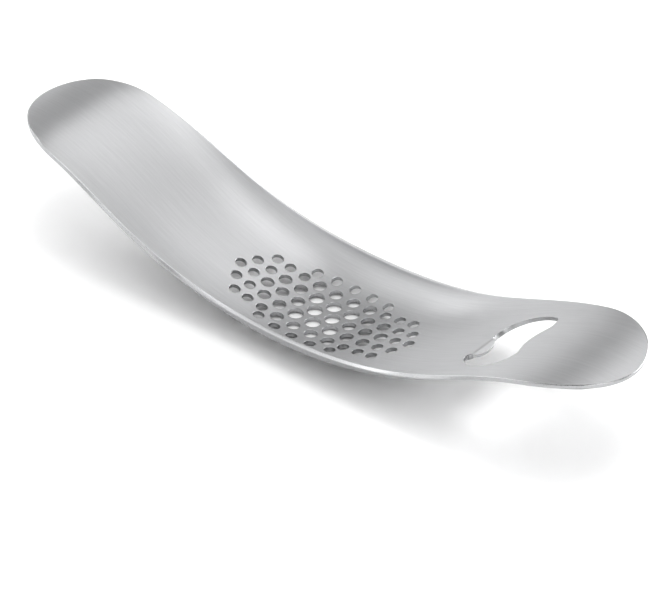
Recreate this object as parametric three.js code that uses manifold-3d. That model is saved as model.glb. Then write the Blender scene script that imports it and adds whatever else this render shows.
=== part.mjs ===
// Garlic rocker: one strip of stainless sheet, cut and punched flat, then pressed
// into a dished rocker whose two ends sweep up into round-ended grips.
// Millimetres, +X along the strip, +Z up, origin under the middle of the rocker.
import * as THREE from 'three';
import { mergeVertices } from 'three/addons/utils/BufferGeometryUtils.js';
import Module from 'manifold-3d';

// The flat strip
const SHEET_THICKNESS = 1.3;
const BLANK_LENGTH = 222.5; // along the strip, before pressing
const END_REACH = 23.2; // length of each rounded end

// The pressed side view, measured along the strip
const ROCKER_RADIUS = 109; // the curve that rocks on the board
const ROCKER_ARC = 48; // its reach to each side of the middle
const TIP_RADIUS = 45; // the reverse curve of the grips
const TIP_ARC = 10.6; // its reach back from each end

// The pressed cross section
const MID_WIDTH = 45; // between the rims, seen from above
const TIP_WIDTH = 40; // where the sides would meet the ends
const PARALLEL_REACH = 52; // the sides run parallel this far from the middle
const WALL_ANGLE = 77; // degrees, slope of the side walls at the rim
const WALL_POWER = 3; // how late the flat floor turns up into the walls

// The crushing holes, in staggered rows that close up towards the grips
const ROW_PITCH = 4.69;
const HOLE_PITCH = 6.38; // along a row, at the middle
const PITCH_LOSS = 0.145; // how much closer the holes stand with every place out
const SIDE_PITCH_LOSS = 0.19; // the same, in the third row from the centre line
const EDGE_PITCH = 6.45; // along the outermost row, which doesn't close up
const EDGE_BOW = 0.28; // its bend towards the centre line, times the place squared
const LARGE_HOLE = 4.6;
const MEDIUM_HOLE = 4.0;
const SMALL_HOLE = 3.4;

// The bottle opener's slot, a leaf shape across one grip: reaches are counted out
// from its straight inner edge, and heights up or down from the centre line
const SLOT_START = 57.1; // from the middle to the inner edge
const SLOT_SHOULDER_UP = 5.6; // top of the straight inner edge
const SLOT_SHOULDER_BACK = 2.2; // pull of the upper edge back past the inner one
const SLOT_CROWN_UP = 16.8; // height of the pulls on the upper edge
const SLOT_CROWN_PULL = 4.2; // the first of them, back from the pointed corner
const SLOT_HEAD_REACH = 17.5; // the pointed upper corner
const SLOT_HEAD_UP = 14.3;
const SLOT_CHEEK_REACH = 19.4; // pull of the outer edge below that corner
const SLOT_NECK_REACH = 16.7; // the outer edge between its cheek and its waist
const SLOT_NECK_UP = 6.9;
const SLOT_WAIST_REACH = 14.5; // pull of the outer edge in towards the inner one
const SLOT_TOE_REACH = 18; // the outermost place of the lower lobe
const SLOT_TOE_DOWN = 5.2;
const SLOT_TOE_RISE = 2; // pull of the outer edge above it
const SLOT_TOE_FALL = 6.3; // and below it
const SLOT_BELLY_REACH = 1.6; // where the lobe meets the heel's curve
const SLOT_BELLY_DOWN = 8.8;
const SLOT_BELLY_PULL = 1.57; // pull of the lobe there, times the heel's
const SLOT_HEEL_BACK = 3.1; // pull of the heel back past the inner edge
const SLOT_HEEL_FALL = 0.8; // and down from it
const SLOT_HEEL_DOWN = 3.9; // bottom of the straight inner edge

// The opener's tooth, in the middle of the slot's inner edge
const TOOTH_WIDTH = 9;
const TOOTH_LENGTH = 2;
const TOOTH_COINING = 0.3; // how much thinner than the sheet it is squeezed
const TOOTH_BEND = 40; // degrees, turned down out of the sheet
const TOOTH_ROOT = 0.4; // sunk into the slot's inner edge

// Facets: an odd count leaves one level facet under the middle
const BODY_CELLS = 21;
const END_CELLS = 5;
const ACROSS_CELLS = 13;
const HOLE_SIDES = 12;
const CURVE_STEPS = 10;
const SUM_STEPS = 120;
const CUT_OVERRUN = 1.5; // the cutters stand this far out of both faces

const TOOTH_THICKNESS = SHEET_THICKNESS - TOOTH_COINING;
const CUT_DEPTH = SHEET_THICKNESS + 2 * CUT_OVERRUN;
const HALF_BLANK = BLANK_LENGTH / 2;
const END_START = HALF_BLANK - END_REACH;
const EASE_END = HALF_BLANK - TIP_ARC;
const EASE_LENGTH = EASE_END - ROCKER_ARC;
const rad = THREE.MathUtils.degToRad;

// Slope of the centre line at a distance along the strip: the rocker's curve,
// then a steady change of curvature, then the reverse curve of the grip.
function slopeAt(along) {
  const reach = Math.abs(along);
  const rockerCurve = 1 / ROCKER_RADIUS;
  const curveChange = -1 / TIP_RADIUS - rockerCurve;
  const eased = THREE.MathUtils.clamp(reach - ROCKER_ARC, 0, EASE_LENGTH);
  const tipped = Math.max(reach - EASE_END, 0);
  const slope = Math.min(reach, EASE_END) * rockerCurve
    + curveChange * eased * eased / (2 * EASE_LENGTH)
    - tipped / TIP_RADIUS;
  return Math.sign(along) * slope;
}

// Sums a direction angle over a length, giving the point that it leads to
function walk(length, angleAt) {
  const step = length / SUM_STEPS;
  const point = new THREE.Vector2();
  for (let i = 0; i < SUM_STEPS; i += 1) {
    const angle = angleAt((i + 0.5) * step);
    point.x += Math.cos(angle) * step;
    point.y += Math.sin(angle) * step;
  }
  return point;
}

// Slope of the side wall at the rim, fading from the middle to flat ends
function rimAngle(along) {
  const fade = THREE.MathUtils.smoothstep(Math.abs(along), 0, HALF_BLANK);
  return rad(WALL_ANGLE) * (1 - fade);
}

// The cross section for a strip of unit half width, from the centre line out
function unitSection(along, share) {
  const rim = rimAngle(along);
  return walk(share, (part) => rim * part ** WALL_POWER);
}

// Half width of the flat strip that gives the wanted width once it is pressed
function halfStrip(along) {
  const narrowing = THREE.MathUtils.smoothstep(Math.abs(along), PARALLEL_REACH, HALF_BLANK);
  const halfWidth = THREE.MathUtils.lerp(MID_WIDTH, TIP_WIDTH, narrowing) / 2;
  return halfWidth / unitSection(along, 1).x;
}

// Where a point of the flat strip lies in the pressed rocker; height is
// counted through the sheet, from its underside
function pressed(along, across, height) {
  const middle = walk(along, slopeAt);
  const half = halfStrip(along);
  const share = Math.min(Math.abs(across) / half, 1);
  const section = unitSection(along, share).multiplyScalar(half);
  const wall = rimAngle(along) * share ** WALL_POWER;
  const lift = height - SHEET_THICKNESS;
  const side = Math.sign(across) * (section.x - Math.sin(wall) * lift);
  const rise = section.y + Math.cos(wall) * lift;
  const slope = slopeAt(along);
  return new THREE.Vector3(
    middle.x - Math.sin(slope) * rise,
    side,
    middle.y + Math.cos(slope) * rise + SHEET_THICKNESS,
  );
}

function press(geometry) {
  const position = geometry.attributes.position;
  for (let i = 0; i < position.count; i += 1) {
    const point = pressed(position.getX(i), position.getY(i), position.getZ(i));
    position.setXYZ(i, point.x, point.y, point.z);
  }
  return geometry;
}

// A square grid drawn onto the strip: straight lines between the ends, and a
// grid rounded to an ellipse over each end
function onStrip(station, share) {
  const reach = Math.abs(station);
  const into = Math.max((reach - END_START) / END_REACH, 0);
  const rounded = into > 0 ? END_START + END_REACH * into * Math.sqrt(1 - share * share / 2) : reach;
  const along = Math.sign(station) * rounded;
  return new THREE.Vector2(along, halfStrip(along) * share * Math.sqrt(1 - into * into / 2));
}

function stations() {
  const list = [];
  for (let i = 0; i < END_CELLS; i += 1) list.push(-HALF_BLANK + END_REACH * i / END_CELLS);
  for (let i = 0; i <= BODY_CELLS; i += 1) list.push(END_START * (2 * i / BODY_CELLS - 1));
  for (let i = 1; i <= END_CELLS; i += 1) list.push(END_START + END_REACH * i / END_CELLS);
  return list;
}

// The strip as a closed slab: a box of square cells, drawn onto the outline
function stripGeometry() {
  const lines = stations();
  const slab = new THREE.BoxGeometry(2, 2, SHEET_THICKNESS, lines.length - 1, ACROSS_CELLS, 1);
  const position = slab.attributes.position;
  for (let i = 0; i < position.count; i += 1) {
    const line = Math.round((position.getX(i) + 1) / 2 * (lines.length - 1));
    const flat = onStrip(lines[line], position.getY(i));
    position.setXY(i, flat.x, flat.y);
  }
  return slab.translate(0, 0, SHEET_THICKNESS / 2);
}

// A cutter that passes through the sheet, from an outline on the flat strip
function punch(outline) {
  const cutter = new THREE.ExtrudeGeometry(outline, {
    depth: CUT_DEPTH, bevelEnabled: false, curveSegments: CURVE_STEPS,
  });
  return cutter.translate(0, 0, -CUT_OVERRUN);
}

function roundPunch(diameter, along, across) {
  const cutter = new THREE.CylinderGeometry(diameter / 2, diameter / 2, CUT_DEPTH, HOLE_SIDES);
  return cutter.rotateX(Math.PI / 2).translate(along, across, SHEET_THICKNESS / 2);
}

// Seven rows, mirrored about the middle one. A row's holes run from place -reach
// to place +reach; they are large, then medium, then small, going out from the middle.
function holePunches() {
  const none = -1;
  const rows = [
    { row: 0, reach: 5.5, pitch: HOLE_PITCH, loss: PITCH_LOSS, bow: 0, largeTo: 0.5, mediumTo: 3.5 },
    { row: 1, reach: 5, pitch: HOLE_PITCH, loss: PITCH_LOSS, bow: 0, largeTo: 1, mediumTo: 3 },
    { row: 2, reach: 4.5, pitch: HOLE_PITCH, loss: SIDE_PITCH_LOSS, bow: 0, largeTo: none, mediumTo: 1.5 },
    { row: 3, reach: 2, pitch: EDGE_PITCH, loss: 0, bow: EDGE_BOW, largeTo: none, mediumTo: none },
  ];
  const punches = [];
  for (const { row, reach, pitch, loss, bow, largeTo, mediumTo } of rows) {
    for (const side of row === 0 ? [1] : [-1, 1]) {
      for (let place = -reach; place <= reach; place += 1) {
        const far = Math.abs(place);
        const outer = far <= mediumTo ? MEDIUM_HOLE : SMALL_HOLE;
        const diameter = far <= largeTo ? LARGE_HOLE : outer;
        const along = place * (pitch - loss * far);
        const across = side * (row * ROW_PITCH - bow * far * far);
        punches.push(roundPunch(diameter, along, across));
      }
    }
  }
  return punches;
}

// The opener's slot, drawn on the flat strip from its pointed upper corner
function slotPunch() {
  const inner = SLOT_START;
  const head = new THREE.Vector2(inner + SLOT_HEAD_REACH, SLOT_HEAD_UP);
  const neck = new THREE.Vector2(inner + SLOT_NECK_REACH, SLOT_NECK_UP);
  const toe = new THREE.Vector2(inner + SLOT_TOE_REACH, -SLOT_TOE_DOWN);
  const belly = new THREE.Vector2(inner + SLOT_BELLY_REACH, -SLOT_BELLY_DOWN);
  const heel = new THREE.Vector2(inner - SLOT_HEEL_BACK, -SLOT_HEEL_DOWN - SLOT_HEEL_FALL);
  const lobe = belly.clone().lerp(heel, -SLOT_BELLY_PULL);
  const outline = new THREE.Shape();
  outline.moveTo(head.x, head.y);
  outline.bezierCurveTo(
    head.x - SLOT_CROWN_PULL, SLOT_CROWN_UP,
    inner - SLOT_SHOULDER_BACK, SLOT_CROWN_UP,
    inner, SLOT_SHOULDER_UP,
  );
  outline.lineTo(inner, -SLOT_HEEL_DOWN);
  outline.quadraticCurveTo(heel.x, heel.y, belly.x, belly.y);
  outline.bezierCurveTo(lobe.x, lobe.y, toe.x, toe.y - SLOT_TOE_FALL, toe.x, toe.y);
  outline.bezierCurveTo(toe.x, toe.y + SLOT_TOE_RISE, inner + SLOT_WAIST_REACH, 0, neck.x, neck.y);
  outline.quadraticCurveTo(inner + SLOT_CHEEK_REACH, (neck.y + head.y) / 2, head.x, head.y);
  return punch(outline);
}

// The tooth: a round-ended tab on the slot's inner edge, turned down out of the sheet
function toothGeometry() {
  const half = TOOTH_WIDTH / 2;
  const pull = TOOTH_LENGTH * 4 / 3; // brings the curve's middle out to the tooth's length
  const tab = new THREE.Shape();
  tab.moveTo(-TOOTH_ROOT, -half);
  tab.lineTo(0, -half);
  tab.bezierCurveTo(pull, -half, pull, half, 0, half);
  tab.lineTo(-TOOTH_ROOT, half);
  const tooth = new THREE.ExtrudeGeometry(tab, {
    depth: TOOTH_THICKNESS, bevelEnabled: false, curveSegments: CURVE_STEPS,
  });
  tooth.translate(0, 0, -TOOTH_THICKNESS / 2);
  const middle = (SLOT_SHOULDER_UP - SLOT_HEEL_DOWN) / 2;
  const seat = pressed(SLOT_START, middle, SHEET_THICKNESS / 2);
  tooth.rotateY(rad(TOOTH_BEND) - slopeAt(SLOT_START));
  return tooth.translate(seat.x, seat.y, seat.z);
}

const wasm = await Module();
wasm.setup();

function toSolid(geometry) {
  const bare = geometry.clone();
  bare.deleteAttribute('normal');
  bare.deleteAttribute('uv');
  const welded = mergeVertices(bare);
  return new wasm.Manifold(new wasm.Mesh({
    numProp: 3,
    vertProperties: new Float32Array(welded.attributes.position.array),
    triVerts: new Uint32Array(welded.index.array),
  }));
}

function toGeometry(solid) {
  const { numProp, vertProperties, triVerts } = solid.getMesh();
  const geometry = new THREE.BufferGeometry();
  geometry.setAttribute('position', new THREE.BufferAttribute(new Float32Array(vertProperties), numProp));
  geometry.setIndex(new THREE.BufferAttribute(new Uint32Array(triVerts), 1));
  geometry.computeVertexNormals();
  return geometry;
}

function rockerPlate() {
  let plate = toSolid(press(stripGeometry()));
  for (const cutter of [...holePunches(), slotPunch()]) plate = plate.subtract(toSolid(press(cutter)));
  return toGeometry(plate.add(toSolid(toothGeometry())));
}

const brushedSteel = new THREE.MeshStandardMaterial({ color: 0xc6c8ca, roughness: 0.34, metalness: 1 });
const plate = new THREE.Mesh(rockerPlate(), brushedSteel);
plate.name = 'rocker_plate';

// The level facet under the middle stands on the ground plane
plate.geometry.computeBoundingBox();
plate.position.z = -plate.geometry.boundingBox.min.z;

const garlicRocker = new THREE.Group();
garlicRocker.add(plate);

export default garlicRocker;
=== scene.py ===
import math

import bmesh
import bpy
import numpy as np
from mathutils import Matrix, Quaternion, Vector
from mathutils.geometry import interpolate_bezier


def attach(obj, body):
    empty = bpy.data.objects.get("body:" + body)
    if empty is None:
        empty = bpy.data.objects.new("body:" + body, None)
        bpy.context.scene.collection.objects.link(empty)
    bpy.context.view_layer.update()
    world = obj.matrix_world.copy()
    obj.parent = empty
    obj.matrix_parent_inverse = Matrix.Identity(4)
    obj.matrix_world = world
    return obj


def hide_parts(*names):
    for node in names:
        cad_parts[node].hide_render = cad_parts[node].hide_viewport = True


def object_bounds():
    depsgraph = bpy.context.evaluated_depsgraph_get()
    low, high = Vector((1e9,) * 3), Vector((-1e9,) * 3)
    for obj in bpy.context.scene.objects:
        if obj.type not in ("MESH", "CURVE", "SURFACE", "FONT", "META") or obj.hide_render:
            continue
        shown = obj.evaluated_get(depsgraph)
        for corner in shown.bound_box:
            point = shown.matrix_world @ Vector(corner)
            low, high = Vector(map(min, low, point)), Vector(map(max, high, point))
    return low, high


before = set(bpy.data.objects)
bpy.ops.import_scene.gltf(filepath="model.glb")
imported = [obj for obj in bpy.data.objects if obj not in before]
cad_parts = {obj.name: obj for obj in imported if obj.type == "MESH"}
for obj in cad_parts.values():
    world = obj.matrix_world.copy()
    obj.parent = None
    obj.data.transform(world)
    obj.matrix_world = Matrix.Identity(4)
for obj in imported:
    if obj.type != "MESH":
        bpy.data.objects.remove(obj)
cad_low, cad_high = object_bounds()


# The flat strip.
# The whole rocker is one length of 1.3 mm stainless sheet, blanked with round ends and slightly narrowing sides.
# It is laid out flat, as a net of cells, so that the holes and the slot are punched before it is pressed.

MM = 0.001
BLANK_LENGTH = 222.5 * MM
END_REACH = 23.2 * MM
MID_WIDTH = 45 * MM
TIP_WIDTH = 40 * MM
PARALLEL_REACH = 52 * MM
WALL_ANGLE = math.radians(77)
WALL_POWER = 3
ROW_PITCH = 4.69 * MM
HOLE_PITCH = 6.38 * MM
PITCH_LOSS = 0.145 * MM
FIELD_COLUMNS = 12
FLANK_CELLS = 22
END_CELLS = 9
BANDS = 4
WALL_LINES = (0.72, 0.80, 0.87, 0.94, 1)
WEB_LEAN = 1 * MM
SUM_STEPS = 48

HALF_BLANK = BLANK_LENGTH / 2
END_START = HALF_BLANK - END_REACH


def smooth_step(value, low, high):
    share = np.clip((value - low) / (high - low), 0, 1)
    return share * share * (3 - 2 * share)


def rim_angle(along):
    return WALL_ANGLE * (1 - smooth_step(np.abs(along), 0, HALF_BLANK))


def unit_section(along, share):
    """The pressed cross section of a strip of unit half width: reach and rise at a share of the way out."""
    steps = (np.arange(SUM_STEPS) + 0.5) / SUM_STEPS
    angle = np.multiply.outer(rim_angle(along) * share**WALL_POWER, steps**WALL_POWER)
    return share * np.cos(angle).mean(-1), share * np.sin(angle).mean(-1)


def half_strip(along):
    narrowing = smooth_step(np.abs(along), PARALLEL_REACH, HALF_BLANK)
    half_width = (MID_WIDTH + (TIP_WIDTH - MID_WIDTH) * narrowing) / 2
    return half_width / unit_section(along, np.ones_like(along))[0]


def on_strip(station, share):
    """A square net drawn on the strip: straight lines between the ends, rounded to an ellipse over each end."""
    into = max((abs(station) - END_START) / END_REACH, 0)
    rounded = END_START + END_REACH * into * math.sqrt(1 - share**2 / 2)
    along = math.copysign(rounded, station) if into > 0 else station
    return along, half_strip(np.float64(along)) * share * math.sqrt(1 - into**2 / 2)


def hole_along(place, pitch=HOLE_PITCH, loss=PITCH_LOSS):
    """Where a hole stands along its row: the holes close up with every place out from the middle."""
    return place * (pitch - loss * abs(place))


field = [hole_along(column / 2) for column in range(FIELD_COLUMNS)]
flank = list(np.linspace(hole_along(FIELD_COLUMNS / 2), END_START, FLANK_CELLS, endpoint=False))
half_stations = field + flank + list(np.linspace(END_START, HALF_BLANK, END_CELLS + 1))
stations = [-station for station in half_stations[:0:-1]] + half_stations
mid_half = half_strip(np.float64(0))
half_shares = [(row + 0.5) * ROW_PITCH / mid_half for row in range(BANDS)] + list(WALL_LINES)
shares = [-share for share in reversed(half_shares)] + half_shares
columns = len(stations) - 1
strips = len(shares) - 1

net = bmesh.new()
pointed = net.verts.layers.float.new("crease_vert")
bmesh.ops.create_grid(net, x_segments=columns, y_segments=strips, size=1)
knots = {}
for vert in net.verts:
    order = round((vert.co.x + 1) / 2 * columns)
    level = round((vert.co.y + 1) / 2 * strips)
    column = order - columns // 2
    band = level - strips / 2
    along, across = on_strip(stations[order], shares[level])
    if abs(column) <= FIELD_COLUMNS and abs(band) < BANDS:
        hole_below = (column + math.floor(band)) % 2
        across += WEB_LEAN if hole_below else -WEB_LEAN
    vert.co = (along, across, 0)
    knots[column, band] = vert


# The crushing holes.
# Seven staggered rows of round holes, punched through the middle of the strip, largest in the centre.
# Garlic is forced up through them as the rocker is pressed down on it.

LARGE_HOLE = 4.6 * MM
MEDIUM_HOLE = 4.0 * MM
SMALL_HOLE = 3.4 * MM
SIDE_PITCH_LOSS = 0.19 * MM
EDGE_PITCH = 6.45 * MM
EDGE_BOW = 0.28 * MM
NONE = -1
CLOSING = (HOLE_PITCH, PITCH_LOSS)
SIDE_CLOSING = (HOLE_PITCH, SIDE_PITCH_LOSS)
EVEN = (EDGE_PITCH, 0)
HOLE_ROWS = (
    {"row": 0, "reach": 5.5, "spacing": CLOSING, "bow": 0, "large_to": 0.5, "medium_to": 3.5},
    {"row": 1, "reach": 5, "spacing": CLOSING, "bow": 0, "large_to": 1, "medium_to": 3},
    {"row": 2, "reach": 4.5, "spacing": SIDE_CLOSING, "bow": 0, "large_to": NONE, "medium_to": 1.5},
    {"row": 3, "reach": 2, "spacing": EVEN, "bow": EDGE_BOW, "large_to": NONE, "medium_to": NONE},
)
HOLE_ROUNDING = 0.12 * MM
CELL_INSET = 0.3 * MM
CELL_LEAN = 1 / 3
CORNER_TURN = math.radians(60)
CORNER_LOSS = 0.8316

holes = []
for plan in HOLE_ROWS:
    for row in sorted({-plan["row"], plan["row"]}):
        for place in np.arange(-plan["reach"], plan["reach"] + 1):
            outer = MEDIUM_HOLE if abs(place) <= plan["medium_to"] else SMALL_HOLE
            diameter = LARGE_HOLE if abs(place) <= plan["large_to"] else outer
            along = hole_along(place, *plan["spacing"])
            across = row * ROW_PITCH - math.copysign(plan["bow"] * place**2, row)
            ends = knots[2 * place, row - 0.5], knots[2 * place, row + 0.5]
            holes.append((ends, Vector((along, across, 0)), diameter - HOLE_ROUNDING))

bmesh.ops.dissolve_edges(net, edges=[net.edges.get(ends) for ends, _, _ in holes])
cells = [next(face for face in low.link_faces if high in face.verts) for (low, high), _, _ in holes]
for cell, (_, centre, _) in zip(cells, holes):
    bmesh.ops.translate(net, verts=cell.verts, vec=(centre - cell.calc_center_median()) * CELL_LEAN)
bmesh.ops.inset_individual(net, faces=cells, thickness=CELL_INSET, use_even_offset=True)
for cell, (_, centre, diameter) in zip(cells, holes):
    for vert in cell.verts:
        arm = vert.co - centre
        corner = round(math.atan2(arm.y, arm.x) / CORNER_TURN - 0.5) + 0.5
        turn = corner * CORNER_TURN
        vert.co = centre + Vector((math.cos(turn), math.sin(turn), 0)) * diameter / 2 / CORNER_LOSS
bmesh.ops.delete(net, geom=cells, context="FACES")


# The opener's slot.
# A leaf-shaped slot, punched across one grip, with a straight inner edge that takes a bottle cap.
# Its reaches are counted out from that edge, and its heights from the strip's centre line.

SLOT_START = 57.1 * MM
SLOT_SHOULDER_UP = 5.6 * MM
SLOT_SHOULDER_BACK = 2.2 * MM
SLOT_CROWN_UP = 16.8 * MM
SLOT_CROWN_PULL = 4.2 * MM
SLOT_HEAD_REACH = 17.5 * MM
SLOT_HEAD_UP = 14.3 * MM
SLOT_CHEEK_REACH = 19.4 * MM
SLOT_NECK_REACH = 16.7 * MM
SLOT_NECK_UP = 6.9 * MM
SLOT_WAIST_REACH = 14.5 * MM
SLOT_TOE_REACH = 18 * MM
SLOT_TOE_DOWN = 5.2 * MM
SLOT_TOE_RISE = 2 * MM
SLOT_TOE_FALL = 6.3 * MM
SLOT_BELLY_REACH = 1.6 * MM
SLOT_BELLY_DOWN = 8.8 * MM
SLOT_BELLY_PULL = 1.57
SLOT_HEEL_BACK = 3.1 * MM
SLOT_HEEL_FALL = 0.8 * MM
SLOT_HEEL_DOWN = 3.9 * MM
CROWN_CELLS = 12
TOOTH_CELLS = 7
HEEL_CELLS = 5
LOBE_CELLS = 9
WAIST_CELLS = 6
CHEEK_CELLS = 4
CUTOUT_FIRST_COLUMN = 20
CUTOUT_LAST_COLUMN = 30
CUTOUT_LOW_BAND = -4.5
CUTOUT_HIGH_BAND = 5.5


def curve(start, start_pull, end_pull, end, cells):
    """Points on a Bezier curve, without its last one."""
    return interpolate_bezier(start, start_pull, end_pull, end, cells + 1)[:-1]


def straight(start, end, cells):
    return [start.lerp(end, step / cells) for step in range(cells)]


inner = SLOT_START
head = Vector((inner + SLOT_HEAD_REACH, SLOT_HEAD_UP, 0))
crown_pull = Vector((head.x - SLOT_CROWN_PULL, SLOT_CROWN_UP, 0))
shoulder_pull = Vector((inner - SLOT_SHOULDER_BACK, SLOT_CROWN_UP, 0))
shoulder = Vector((inner, SLOT_SHOULDER_UP, 0))
heel = Vector((inner, -SLOT_HEEL_DOWN, 0))
heel_pull = Vector((inner - SLOT_HEEL_BACK, -SLOT_HEEL_DOWN - SLOT_HEEL_FALL, 0))
belly = Vector((inner + SLOT_BELLY_REACH, -SLOT_BELLY_DOWN, 0))
belly_pull = belly.lerp(heel_pull, -SLOT_BELLY_PULL)
toe = Vector((inner + SLOT_TOE_REACH, -SLOT_TOE_DOWN, 0))
toe_fall = Vector((toe.x, toe.y - SLOT_TOE_FALL, 0))
toe_rise = Vector((toe.x, toe.y + SLOT_TOE_RISE, 0))
waist_pull = Vector((inner + SLOT_WAIST_REACH, 0, 0))
neck = Vector((inner + SLOT_NECK_REACH, SLOT_NECK_UP, 0))
cheek = Vector((inner + SLOT_CHEEK_REACH, (SLOT_NECK_UP + SLOT_HEAD_UP) / 2, 0))
outline = [
    *curve(head, crown_pull, shoulder_pull, shoulder, CROWN_CELLS),
    *straight(shoulder, heel, TOOTH_CELLS),
    *curve(heel, heel.lerp(heel_pull, 2 / 3), belly.lerp(heel_pull, 2 / 3), belly, HEEL_CELLS),
    *curve(belly, belly_pull, toe_fall, toe, LOBE_CELLS),
    *curve(toe, toe_rise, waist_pull, neck, WAIST_CELLS),
    *curve(neck, neck.lerp(cheek, 2 / 3), head.lerp(cheek, 2 / 3), head, CHEEK_CELLS),
]

cut_columns = range(CUTOUT_FIRST_COLUMN, CUTOUT_LAST_COLUMN + 1)
cut_bands = np.arange(CUTOUT_LOW_BAND, CUTOUT_HIGH_BAND + 1)
cutout = {knots[column, band] for column in cut_columns for band in cut_bands}
waste = [face for face in net.faces if cutout.issuperset(face.verts)]
bmesh.ops.delete(net, geom=waste, context="FACES")
rim_edges = [edge for edge in net.edges if edge.is_boundary and cutout.issuperset(edge.verts)]
slot_ring = bmesh.ops.create_circle(net, segments=len(outline), radius=SLOT_TOE_REACH)["verts"]
for vert, point in zip(slot_ring, outline):
    vert.co = (point.x, point.y, SLOT_TOE_REACH)
slot_edges = list({edge for vert in slot_ring for edge in vert.link_edges})
slot_ring[0][pointed] = 1
bmesh.ops.bridge_loops(net, edges=rim_edges + slot_edges)
for vert in slot_ring:
    vert.co.z = 0


# The opener's tooth.
# A low round tab of the same sheet, left standing on the slot's inner edge and turned down to catch under a cap.
# It is squeezed a little thinner than the sheet, and bends in a short curve.

TOOTH_WIDTH = SLOT_SHOULDER_UP + SLOT_HEEL_DOWN
TOOTH_LENGTH = 2 * MM
TOOTH_END_DROP = 0.94
TOOTH_ROWS = (0.4, 1)
TOOTH_COINING = 0.3 * MM
TOOTH_BEND = math.radians(40)
TOOTH_BEND_RADIUS = 0.8 * MM
TOOTH_SIDE_SLACK = 0.13 * MM

TOOTH_MIDDLE = (SLOT_SHOULDER_UP - SLOT_HEEL_DOWN) / 2

root = slot_ring[CROWN_CELLS:CROWN_CELLS + TOOTH_CELLS + 1]
free_edges = [net.edges.get(pair) for pair in zip(root, root[1:])]
for share in TOOTH_ROWS:
    grown = bmesh.ops.extrude_edge_only(net, edges=free_edges)["geom"]
    tips = {item for item in grown if isinstance(item, bmesh.types.BMVert)}
    for vert in tips:
        off_centre = (vert.co.y - TOOTH_MIDDLE) / (TOOTH_WIDTH / 2)
        vert.co.x = inner + TOOTH_LENGTH * share * math.sqrt(1 - TOOTH_END_DROP * off_centre**2)
    edges = [item for item in grown if isinstance(item, bmesh.types.BMEdge)]
    free_edges = [edge for edge in edges if tips.issuperset(edge.verts)]

net.normal_update()
bmesh.ops.reverse_faces(net, faces=[face for face in net.faces if face.normal.z < 0])


def turn_down_tooth(flat, thickness):
    past = flat[:, 0] - inner
    beside = np.abs(flat[:, 1] - TOOTH_MIDDLE) < TOOTH_WIDTH / 2 + TOOTH_SIDE_SLACK
    tooth = (past > 0) & (past < 2 * TOOTH_LENGTH) & beside
    past = past[tooth]
    squeeze = 1 - TOOTH_COINING / thickness * smooth_step(past, 0, TOOTH_LENGTH / 2)
    from_middle = (flat[tooth, 2] + thickness / 2) * squeeze
    bend = np.minimum(past / TOOTH_BEND_RADIUS, TOOTH_BEND)
    level = past - bend * TOOTH_BEND_RADIUS
    drop = TOOTH_BEND_RADIUS * (1 - np.cos(bend)) + level * np.sin(bend)
    run = TOOTH_BEND_RADIUS * np.sin(bend) + level * np.cos(bend)
    flat[tooth, 0] = inner + run + from_middle * np.sin(bend)
    flat[tooth, 2] = from_middle * np.cos(bend) - drop - thickness / 2


# The pressed rocker.
# The punched strip is pressed in one stroke into a dish between two upswept grips that curl back at their ends.
# Its edges are then tumbled round, and its faces brushed along the length.

SHEET_THICKNESS = 1.3 * MM
EDGE_ROUNDING = 0.25 * MM
EDGE_STEPS = 3
EDGE_TURN = math.radians(60)
FACE_LEVEL = 0.99
SMOOTHING = 2
ROCKER_RADIUS = 109 * MM
ROCKER_ARC = 48 * MM
TIP_RADIUS = 45 * MM
TIP_ARC = 10.6 * MM
MIDLINE_STEP = 0.2 * MM
EASE_END = HALF_BLANK - TIP_ARC
EASE_LENGTH = EASE_END - ROCKER_ARC

cage = bpy.data.meshes.new("punched_strip")
net.to_mesh(cage)
net.free()
cage_object = bpy.data.objects.new("punched_strip", cage)
bpy.context.scene.collection.objects.link(cage_object)
smoothing = cage_object.modifiers.new("smooth_outlines", "SUBSURF")
smoothing.levels = SMOOTHING
smoothing.render_levels = SMOOTHING
smoothing.boundary_smooth = "ALL"
smooth_cage = bpy.data.meshes.new_from_object(cage_object.evaluated_get(bpy.context.evaluated_depsgraph_get()))
bpy.data.objects.remove(cage_object)

sheet = bmesh.new()
sheet.from_mesh(smooth_cage)
bmesh.ops.solidify(sheet, geom=sheet.faces[:], thickness=SHEET_THICKNESS)
sheet.normal_update()
sharp = [edge for edge in sheet.edges if edge.calc_face_angle(0) > EDGE_TURN]
punched_end = SLOT_START + SLOT_CHEEK_REACH
punched_side = BANDS * ROW_PITCH


def is_punched(edge):
    return all(abs(vert.co.x) < punched_end and abs(vert.co.y) < punched_side for vert in edge.verts)


punched = [edge for edge in sharp if is_punched(edge)]
blanked = [edge for edge in sharp if not is_punched(edge)]
for edges, rounding in ((punched, HOLE_ROUNDING), (blanked, EDGE_ROUNDING)):
    bmesh.ops.bevel(
        sheet, geom=edges, offset=rounding, affect="EDGES", segments=EDGE_STEPS, profile=0.5, material=-1
    )
sheet.normal_update()
brushing = sheet.loops.layers.uv.new("brushing")
for face in sheet.faces:
    face.smooth = True
    face.material_index = 0 if abs(face.normal.z) > FACE_LEVEL else 1
    for loop in face.loops:
        loop[brushing].uv = (loop.vert.co.y, loop.vert.co.x)


def slope_at(along):
    """Slope of the centre line: the rocker's curve, a steady change of curvature, the reverse curve of a grip."""
    reach = np.abs(along)
    curve_change = -1 / TIP_RADIUS - 1 / ROCKER_RADIUS
    eased = np.clip(reach - ROCKER_ARC, 0, EASE_LENGTH)
    tipped = np.maximum(reach - EASE_END, 0)
    slope = np.minimum(reach, EASE_END) / ROCKER_RADIUS + curve_change * eased**2 / (2 * EASE_LENGTH)
    return np.sign(along) * (slope - tipped / TIP_RADIUS)


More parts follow.
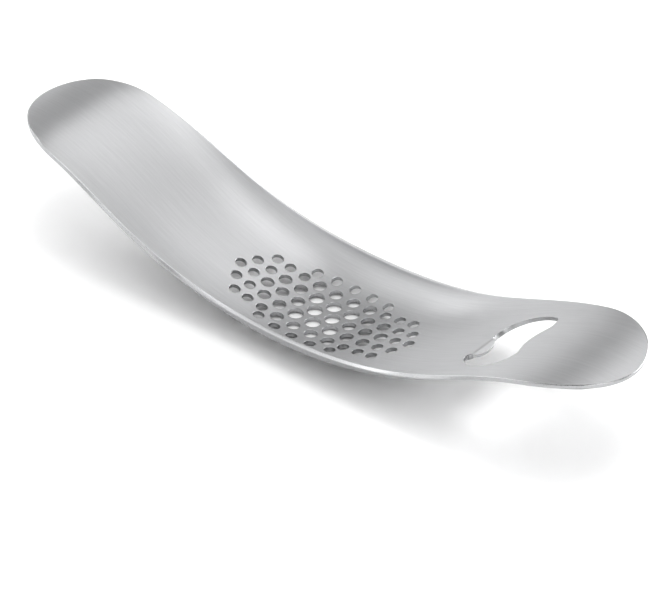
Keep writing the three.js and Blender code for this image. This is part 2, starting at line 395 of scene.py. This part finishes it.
def centre_line(along):
    steps = np.arange(0, HALF_BLANK + MIDLINE_STEP, MIDLINE_STEP)
    slopes = slope_at(steps + MIDLINE_STEP / 2)
    run = np.concatenate(([0], np.cumsum(np.cos(slopes)))) * MIDLINE_STEP
    rise = np.concatenate(([0], np.cumsum(np.sin(slopes)))) * MIDLINE_STEP
    marks = np.arange(len(run)) * MIDLINE_STEP
    reach = np.abs(along)
    return np.sign(along) * np.interp(reach, marks, run), np.interp(reach, marks, rise)


def press(flat):
    along, across, lift = flat.T
    half = half_strip(along)
    share = np.minimum(np.abs(across) / half, 1)
    reach, rise = unit_section(along, share)
    wall = rim_angle(along) * share**WALL_POWER
    slope = slope_at(along)
    run, climb = centre_line(along)
    height = rise * half + np.cos(wall) * lift
    side = np.sign(across) * (reach * half - np.sin(wall) * lift)
    return np.stack((run - np.sin(slope) * height, side, climb + np.cos(slope) * height), axis=1)


flat = np.array([vert.co for vert in sheet.verts])
turn_down_tooth(flat, SHEET_THICKNESS)
points = press(flat)
shares_of_box = (points - points.min(0)) / np.ptp(points, axis=0)
points = np.array(cad_low) + shares_of_box * np.array(cad_high - cad_low)
for vert, point in zip(sheet.verts, points):
    vert.co = point
plate_mesh = bpy.data.meshes.new("pressed_rocker")
sheet.to_mesh(plate_mesh)
sheet.free()
plate = bpy.data.objects.new("pressed_rocker", plate_mesh)
bpy.context.scene.collection.objects.link(plate)
weighting = plate.modifiers.new("even_shading", "WEIGHTED_NORMAL")
weighting.keep_sharp = False

STEEL = (0.565, 0.567, 0.573, 1)
BRIGHT_STEEL = (0.615, 0.617, 0.623, 1)
TONE_ENDS = (0.3, 0.7)
BRUSHING_SPREAD = 0.85
FINE_STREAK = (0.2 * MM, 6 * MM)
BROAD_STREAK = (0.7 * MM, 22 * MM)
HANDLING = (16 * MM, 22 * MM)
FACE_ROUGHNESS = (0.36, 0.50)
GROOVE_DEPTH = 0.004 * MM
CUT_GRAIN = (0.12 * MM, 0.12 * MM, 1.5 * MM)
EDGE_ROUGHNESS = (0.22, 0.36)
CUT_DEPTH = 0.006 * MM
GRAIN_DETAIL = 3
BUMP_STRENGTH = 0.35


def stretched_noise(nodes, links, coordinates, size):
    """Noise whose grains have the given size along each coordinate."""
    mapping = nodes.new("ShaderNodeMapping")
    for axis, length in enumerate(size):
        mapping.inputs["Scale"].default_value[axis] = 1 / length
    links.new(coordinates, mapping.inputs["Vector"])
    noise = nodes.new("ShaderNodeTexNoise")
    noise.inputs["Scale"].default_value = 1
    noise.inputs["Detail"].default_value = GRAIN_DETAIL
    links.new(mapping.outputs["Vector"], noise.inputs["Vector"])
    return noise.outputs["Fac"]


def mean_of(nodes, links, first, second):
    mean = nodes.new("ShaderNodeMix")
    links.new(first, mean.inputs["A"])
    links.new(second, mean.inputs["B"])
    return mean.outputs["Result"]


def finish_steel(material, grain, shine, roughness, depth):
    """Lets a grain vary the steel's colour and relief, and a second pattern its roughness."""
    nodes, links = material.node_tree.nodes, material.node_tree.links
    shader = nodes["Principled BSDF"]
    shader.inputs["Metallic"].default_value = 1
    tone = nodes.new("ShaderNodeValToRGB")
    for stop, place, colour in zip(tone.color_ramp.elements, TONE_ENDS, (STEEL, BRIGHT_STEEL)):
        stop.position = place
        stop.color = colour
    links.new(grain, tone.inputs["Fac"])
    links.new(tone.outputs["Color"], shader.inputs["Base Color"])
    polish = nodes.new("ShaderNodeMapRange")
    polish.inputs["To Min"].default_value = roughness[0]
    polish.inputs["To Max"].default_value = roughness[1]
    links.new(shine, polish.inputs["Value"])
    links.new(polish.outputs["Result"], shader.inputs["Roughness"])
    relief = nodes.new("ShaderNodeBump")
    relief.inputs["Strength"].default_value = BUMP_STRENGTH
    relief.inputs["Distance"].default_value = depth
    links.new(grain, relief.inputs["Height"])
    links.new(relief.outputs["Normal"], shader.inputs["Normal"])


def brushed_face():
    material = bpy.data.materials.new("brushed_face")
    material.use_nodes = True
    nodes, links = material.node_tree.nodes, material.node_tree.links
    shader = nodes["Principled BSDF"]
    shader.inputs["Anisotropic"].default_value = BRUSHING_SPREAD
    tangent = nodes.new("ShaderNodeTangent")
    tangent.direction_type = "UV_MAP"
    tangent.uv_map = "brushing"
    links.new(tangent.outputs["Tangent"], shader.inputs["Tangent"])
    strip = nodes.new("ShaderNodeUVMap")
    strip.uv_map = "brushing"
    fine = stretched_noise(nodes, links, strip.outputs["UV"], FINE_STREAK)
    broad = stretched_noise(nodes, links, strip.outputs["UV"], BROAD_STREAK)
    handled = stretched_noise(nodes, links, strip.outputs["UV"], HANDLING)
    grain = mean_of(nodes, links, fine, broad)
    finish_steel(material, grain, mean_of(nodes, links, grain, handled), FACE_ROUGHNESS, GROOVE_DEPTH)
    return material


def cut_edge():
    material = bpy.data.materials.new("cut_edge")
    material.use_nodes = True
    nodes, links = material.node_tree.nodes, material.node_tree.links
    place = nodes.new("ShaderNodeTexCoord")
    grain = stretched_noise(nodes, links, place.outputs["Object"], CUT_GRAIN)
    finish_steel(material, grain, grain, EDGE_ROUGHNESS, CUT_DEPTH)
    return material


plate_mesh.materials.append(brushed_face())
plate_mesh.materials.append(cut_edge())
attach(plate, "root")
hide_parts("rocker_plate")


# The floor.
# A plain white table top that the rocker stands on.
# It reaches past the edges of the picture on every side.

FLOOR_REACH = 3
FLOOR_WHITE = (0.95, 0.95, 0.95, 1)
FLOOR_ROUGHNESS = 0.9

floor_mesh = bpy.data.meshes.new("floor")
floor_form = bmesh.new()
bmesh.ops.create_grid(floor_form, x_segments=1, y_segments=1, size=FLOOR_REACH)
floor_form.to_mesh(floor_mesh)
floor_form.free()
floor = bpy.data.objects.new("floor", floor_mesh)
bpy.context.scene.collection.objects.link(floor)
floor_paint = bpy.data.materials.new("white_table")
floor_paint.use_nodes = True
floor_shader = floor_paint.node_tree.nodes["Principled BSDF"]
floor_shader.inputs["Base Color"].default_value = FLOOR_WHITE
floor_shader.inputs["Roughness"].default_value = FLOOR_ROUGHNESS
floor_mesh.materials.append(floor_paint)


# The light.
# Large soft white cards stand all round the table, brightest behind the rocker and at its right.
# Each is named by its direction from the rocker, and given the angle that it fills there.

CARD_REACH = 0.9
CONTRAST_GAMMA = 0.6
STUDIO_WHITE = (1, 1, 1, 1)
STUDIO_GLOW = 0.48
CARDS = (
    {"name": "back_low", "azimuth": 205, "elevation": 10, "wide": 90, "tall": 16, "watts": 1.6},
    {"name": "back", "azimuth": 190, "elevation": 35, "wide": 40, "tall": 30, "watts": 0.75},
    {"name": "back_top", "azimuth": 185, "elevation": 76, "wide": 40, "tall": 26, "watts": 1.4},
    {"name": "back_right", "azimuth": 150, "elevation": 20, "wide": 40, "tall": 24, "watts": 4.7},
    {"name": "right", "azimuth": 75, "elevation": 25, "wide": 40, "tall": 30, "watts": 2.1},
    {"name": "left_low", "azimuth": 270, "elevation": 25, "wide": 40, "tall": 30, "watts": 1.1},
    {"name": "left_high", "azimuth": 270, "elevation": 50, "wide": 40, "tall": 30, "watts": 0.8},
    {"name": "front_left", "azimuth": 322, "elevation": 30, "wide": 50, "tall": 50, "watts": 2.2},
    {"name": "above", "azimuth": 0, "elevation": 88, "wide": 40, "tall": 40, "watts": 1.25},
)


def card_side(degrees):
    return 2 * CARD_REACH * math.tan(math.radians(degrees) / 2)


def direction(azimuth, elevation):
    """Turned from the rocker's near side towards its right, and up from the table."""
    level = math.cos(elevation)
    return Vector((math.sin(azimuth) * level, -math.cos(azimuth) * level, math.sin(elevation)))


for card in CARDS:
    lamp = bpy.data.lights.new(card["name"], "AREA")
    lamp.shape = "RECTANGLE"
    lamp.size = card_side(card["wide"])
    lamp.size_y = card_side(card["tall"])
    lamp.energy = card["watts"]
    card_object = bpy.data.objects.new(card["name"], lamp)
    outward = direction(math.radians(card["azimuth"]), math.radians(card["elevation"]))
    card_object.location = outward * CARD_REACH
    card_object.rotation_euler = outward.to_track_quat("Z", "Y").to_euler()
    card_object.visible_camera = False
    bpy.context.scene.collection.objects.link(card_object)

world = bpy.data.worlds.new("studio")
world.use_nodes = True
world.node_tree.nodes["Background"].inputs["Color"].default_value = STUDIO_WHITE
world.node_tree.nodes["Background"].inputs["Strength"].default_value = STUDIO_GLOW
bpy.context.scene.world = world
bpy.context.scene.view_settings.view_transform = "Standard"
bpy.context.scene.view_settings.gamma = CONTRAST_GAMMA


# The camera.
# It looks down on the rocker from its near right.
# A long lens keeps the far grip nearly as large as the near one.

CAMERA_AZIMUTH = math.radians(39.159)
CAMERA_ELEVATION = math.radians(35.728)
CAMERA_ROLL = math.radians(0.401)
CAMERA_PLACE = (514.49 * MM, -628.28 * MM, 592.23 * MM)
CAMERA_LENS = 194.83

camera_data = bpy.data.cameras.new("camera")
camera_data.lens = CAMERA_LENS
camera = bpy.data.objects.new("camera", camera_data)
bpy.context.scene.collection.objects.link(camera)
back = direction(CAMERA_AZIMUTH, CAMERA_ELEVATION)
camera.location = CAMERA_PLACE
camera.rotation_mode = "QUATERNION"
camera.rotation_quaternion = (-back).to_track_quat("-Z", "Y") @ Quaternion((0, 0, 1), CAMERA_ROLL)
bpy.context.scene.camera = camera
